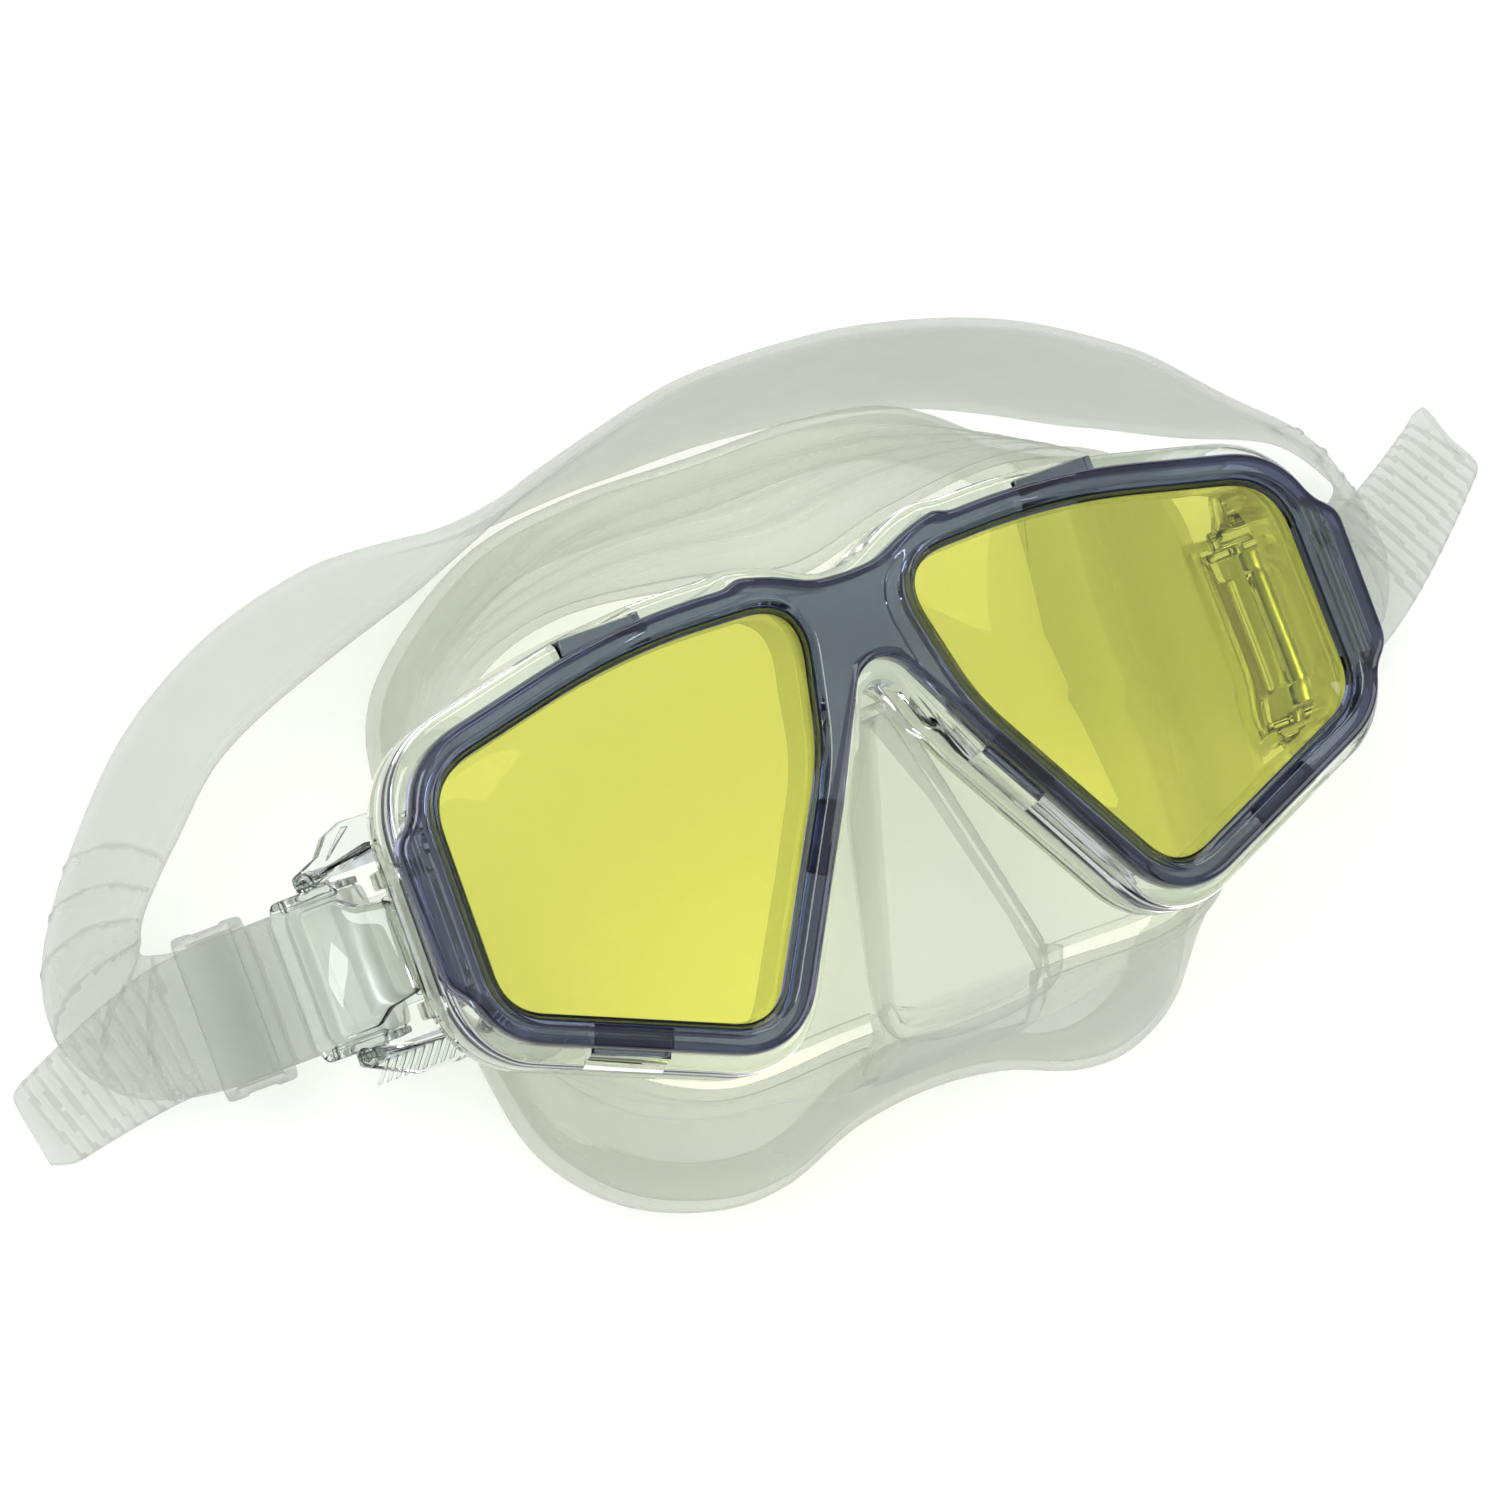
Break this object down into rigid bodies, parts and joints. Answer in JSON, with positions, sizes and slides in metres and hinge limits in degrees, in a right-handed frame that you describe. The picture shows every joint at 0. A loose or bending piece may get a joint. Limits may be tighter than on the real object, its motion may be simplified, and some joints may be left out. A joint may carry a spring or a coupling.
{
  "type": "snorkel mask",
  "caption": "Snorkel mask with yellow lenses in a clear frame with a smoke bezel, clear silicone skirt with nose pocket, swivel buckles and a silicone head strap.",
  "frame": {"origin": "middle of the whole object on the ground under it, with the mask lying on its face seal", "axes": "+X along the width of the mask to the right in front view, +Y towards the forehead, +Z out through the lenses"},
  "size_m": [0.2933, 0.1333, 0.067],
  "materials": {
    "clear_plastic": "polished, water clear",
    "smoke_plastic": "polished, smoke tint",
    "yellow_glass": "polished",
    "silicone": "satin, translucent",
    "steel": "satin"
  },
  "bodies": {
    "mask": {"main_frame": "clear_plastic", "front_bezel": "smoke_plastic", "lens_left": "yellow_glass", "lens_right": "yellow_glass", "skirt": "silicone", "strap_band": "silicone", "left_hinge_pin": "steel", "right_hinge_pin": "steel"},
    "left_buckle": {"left_buckle_body": "clear_plastic", "left_buckle_cover": "clear_plastic", "left_button_spring": "steel", "strap_left_end": "silicone"},
    "left_upper_squeeze": {"left_upper_button": "clear_plastic"},
    "left_lower_squeeze": {"left_lower_button": "clear_plastic"},
    "left_pawl": {"left_strap_pawl": "clear_plastic"},
    "left_roller": {"left_strap_roller": "steel"},
    "left_keeper": {"left_strap_keeper": "silicone"},
    "right_buckle": {"right_buckle_body": "clear_plastic", "right_buckle_cover": "clear_plastic", "right_button_spring": "steel", "strap_right_end": "silicone"},
    "right_upper_squeeze": {"right_upper_button": "clear_plastic"},
    "right_lower_squeeze": {"right_lower_button": "clear_plastic"},
    "right_pawl": {"right_strap_pawl": "clear_plastic"},
    "right_roller": {"right_strap_roller": "steel"},
    "right_keeper": {"right_strap_keeper": "silicone"}
  },
  "joints": [
    {"name": "left_fold", "type": "hinge", "parent": "mask", "child": "left_buckle", "pos_m": [-0.0795, -0.0062, 0.0425], "axis": [0, -1, 0], "range_deg": [-34, 56], "deforming": ["strap_left_end"]},
    {"name": "left_upper_press", "type": "hinge", "parent": "left_buckle", "child": "left_upper_squeeze", "pos_m": [-0.09359, 0.0086, 0.03299], "axis": [0.5592, 0, -0.829], "range_deg": [0, 5], "stiffness_Nm_per_rad": 0.05, "springref_deg": -5.73, "deforming": ["left_button_spring"]},
    {"name": "left_lower_press", "type": "hinge", "parent": "left_buckle", "child": "left_lower_squeeze", "pos_m": [-0.09359, -0.021, 0.03299], "axis": [-0.5592, 0, 0.829], "range_deg": [0, 5], "stiffness_Nm_per_rad": 0.05, "springref_deg": -5.73, "deforming": ["left_button_spring"]},
    {"name": "left_pawl_lift", "type": "hinge", "parent": "left_buckle", "child": "left_pawl", "pos_m": [-0.09608, -0.0062, 0.03132], "axis": [0, -1, 0], "range_deg": [0, 10]},
    {"name": "left_roller_spin", "type": "hinge", "parent": "left_buckle", "child": "left_roller", "pos_m": [-0.09028, -0.0062, 0.03523], "axis": [0, -1, 0], "continuous": true},
    {"name": "left_keeper_slide", "type": "slide", "parent": "left_buckle", "child": "left_keeper", "axis": [-0.829, 0, -0.5592], "range_m": [-0.002, 0.003]},
    {"name": "right_fold", "type": "hinge", "parent": "mask", "child": "right_buckle", "pos_m": [0.0785, -0.0062, 0.0425], "axis": [0, 1, 0], "range_deg": [-78, 12], "deforming": ["strap_right_end"]},
    {"name": "right_upper_press", "type": "hinge", "parent": "right_buckle", "child": "right_upper_squeeze", "pos_m": [0.08203, 0.0086, 0.02587], "axis": [0.9781, 0, 0.2079], "range_deg": [0, 5], "stiffness_Nm_per_rad": 0.05, "springref_deg": -5.73, "deforming": ["right_button_spring"]},
    {"name": "right_lower_press", "type": "hinge", "parent": "right_buckle", "child": "right_lower_squeeze", "pos_m": [0.08203, -0.021, 0.02587], "axis": [-0.9781, 0, -0.2079], "range_deg": [0, 5], "stiffness_Nm_per_rad": 0.05, "springref_deg": -5.73, "deforming": ["right_button_spring"]},
    {"name": "right_pawl_lift", "type": "hinge", "parent": "right_buckle", "child": "right_pawl", "pos_m": [0.08266, -0.0062, 0.02294], "axis": [0, 1, 0], "range_deg": [0, 10]},
    {"name": "right_roller_spin", "type": "hinge", "parent": "right_buckle", "child": "right_roller", "pos_m": [0.0812, -0.0062, 0.02978], "axis": [0, 1, 0], "continuous": true},
    {"name": "right_keeper_slide", "type": "slide", "parent": "right_buckle", "child": "right_keeper", "axis": [0.9976, 0, -0.0698], "range_m": [0, 0.0025]}
  ],
  "couplings": [
    {"joint": "left_pawl_lift", "follows": "left_upper_press", "ratio": 2},
    {"joint": "right_pawl_lift", "follows": "right_upper_press", "ratio": 2}
  ]
}
